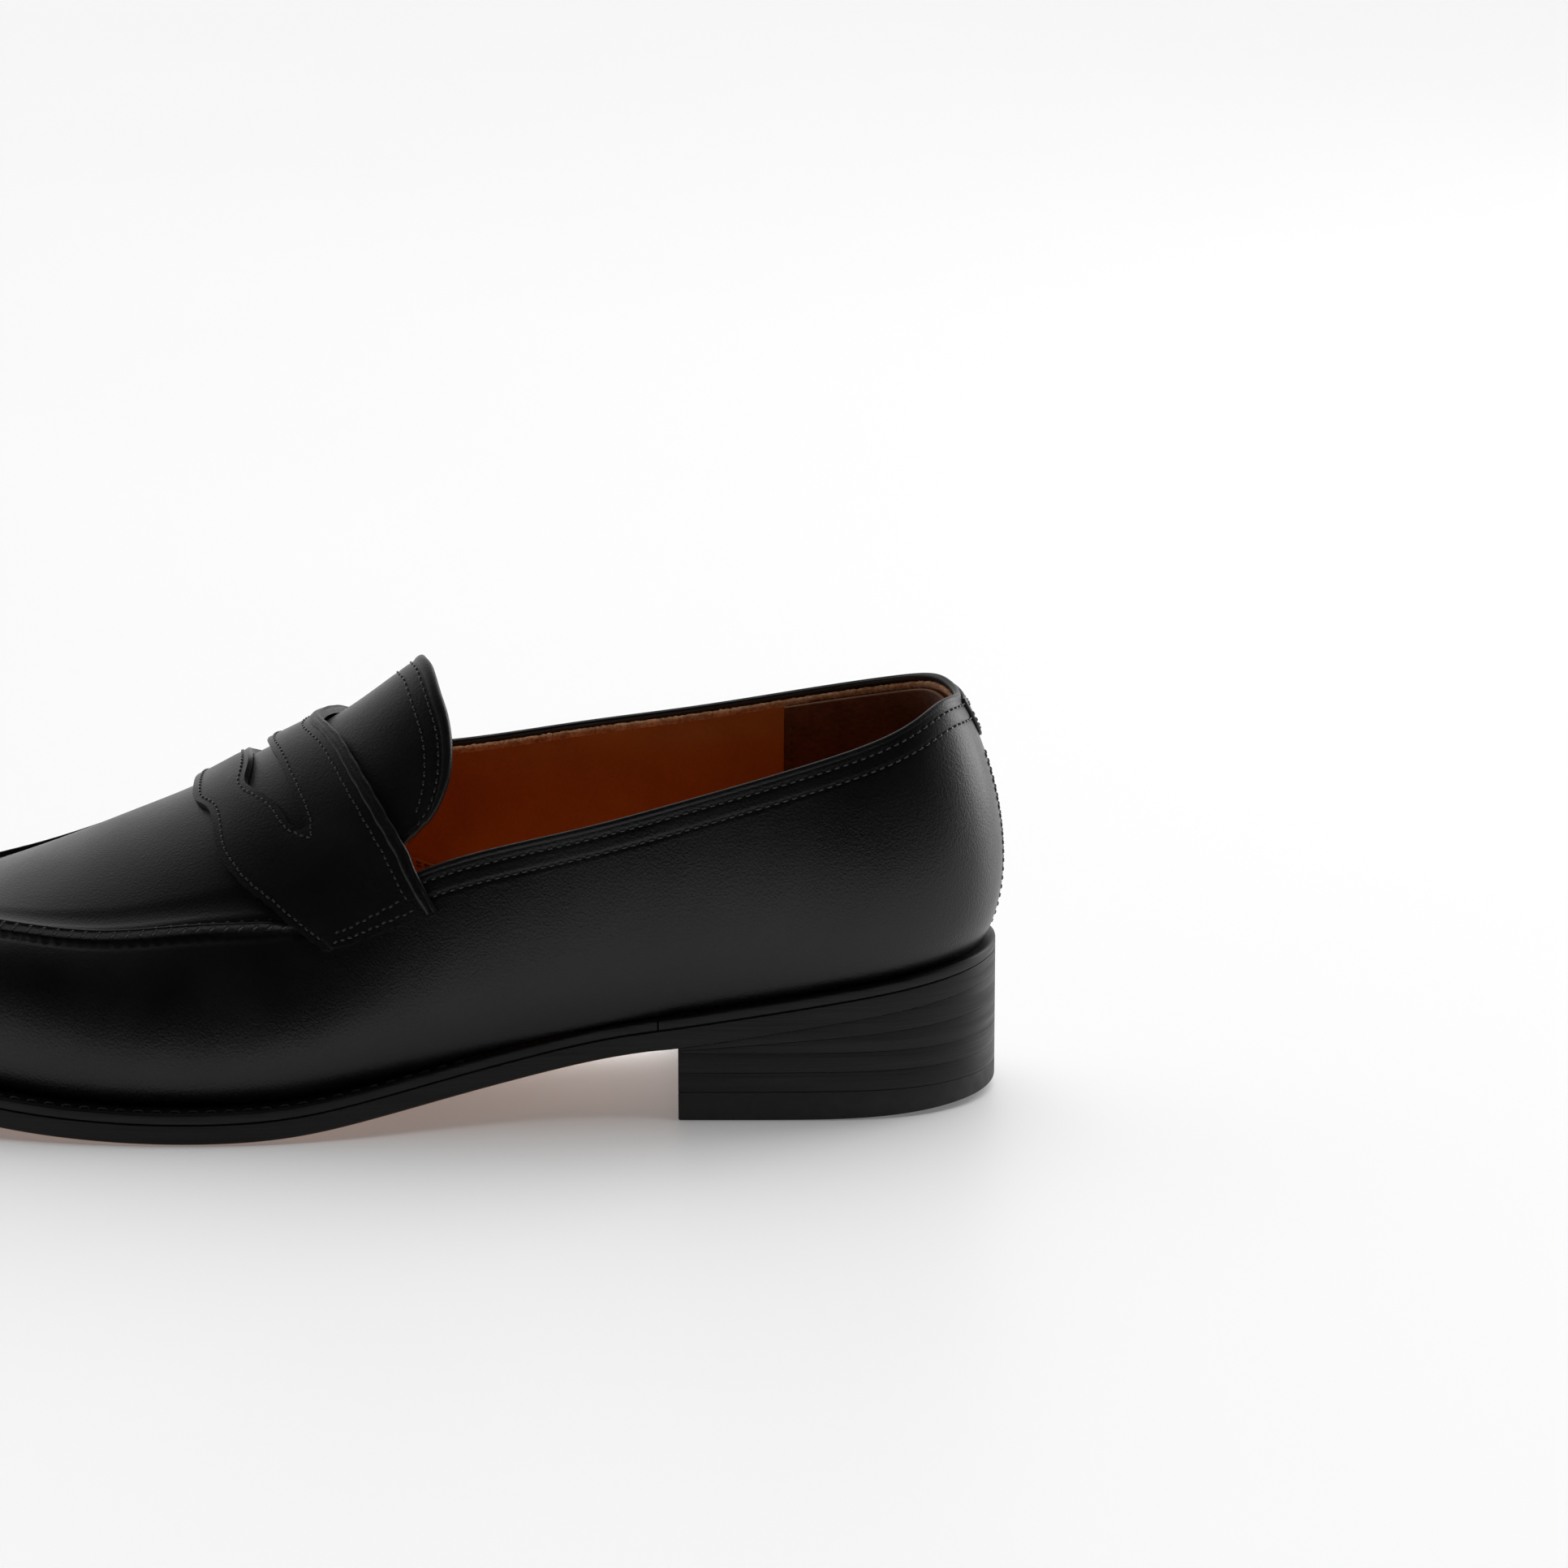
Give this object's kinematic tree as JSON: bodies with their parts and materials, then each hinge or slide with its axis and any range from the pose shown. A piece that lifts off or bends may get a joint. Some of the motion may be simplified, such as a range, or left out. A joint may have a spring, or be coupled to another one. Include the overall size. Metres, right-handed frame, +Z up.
{
  "type": "penny loafer, left shoe",
  "caption": "Slip-on leather shoe with a raised apron seam, a slotted saddle strap, a tongue, a welted leather sole and a stacked heel.",
  "frame": {"origin": "on the floor, under the middle of the shoe's outline", "axes": "+X to the toe, +Y to the outer (lateral) side, +Z up; the shoe stands on the ball of its sole and its heel"},
  "size_m": [0.2936, 0.1022, 0.1073],
  "materials": {
    "upper_leather": "fine-grained black calf, semi-gloss",
    "stiffener_board": "leather board",
    "lining_leather": "smooth tan lining leather",
    "grip_suede": "napped suede",
    "insole_leather": "vegetable-tanned",
    "edge_leather": "black-inked and burnished edge",
    "sole_leather": "oak-bark tan, black edge",
    "cork": "ground cork",
    "top_piece_rubber": "matt",
    "shank_steel": "plain steel",
    "nail_brass": "plain brass"
  },
  "bodies": {
    "shoe": {"apron": "upper_leather", "apron_lining": "lining_leather", "apron_ridge": "upper_leather", "cork_filler": "cork", "heel_counter": "stiffener_board", "heel_grip": "grip_suede", "heel_lift_lower": "edge_leather", "heel_lift_upper": "edge_leather", "heel_nails": "shank_steel", "heel_rand": "edge_leather", "heel_seat": "insole_leather", "heel_tab": "upper_leather", "heel_wedge_lower": "edge_leather", "heel_wedge_upper": "edge_leather", "insole": "insole_leather", "outsole": "sole_leather", "quarter_lining_lateral": "lining_leather", "quarter_lining_medial": "lining_leather", "shank": "shank_steel", "skirt": "upper_leather", "sock_liner": "lining_leather", "strap": "upper_leather", "strap_piping": "upper_leather", "toe_puff": "stiffener_board", "top_piece": "top_piece_rubber", "top_piece_nails": "nail_brass", "topline_bead": "upper_leather", "vamp_lining": "lining_leather", "welt": "edge_leather"},
    "tongue": {"tongue": "upper_leather", "tongue_lining": "lining_leather", "tongue_binding": "upper_leather"}
  },
  "joints": [
    {"name": "tongue_lift", "type": "hinge", "parent": "shoe", "child": "tongue", "pos_m": [0.0183, -0.0064, 0.087], "axis": [0, 1, 0], "range_deg": [-0.5, 7.5], "stiffness_Nm_per_rad": 0.05}
  ]
}
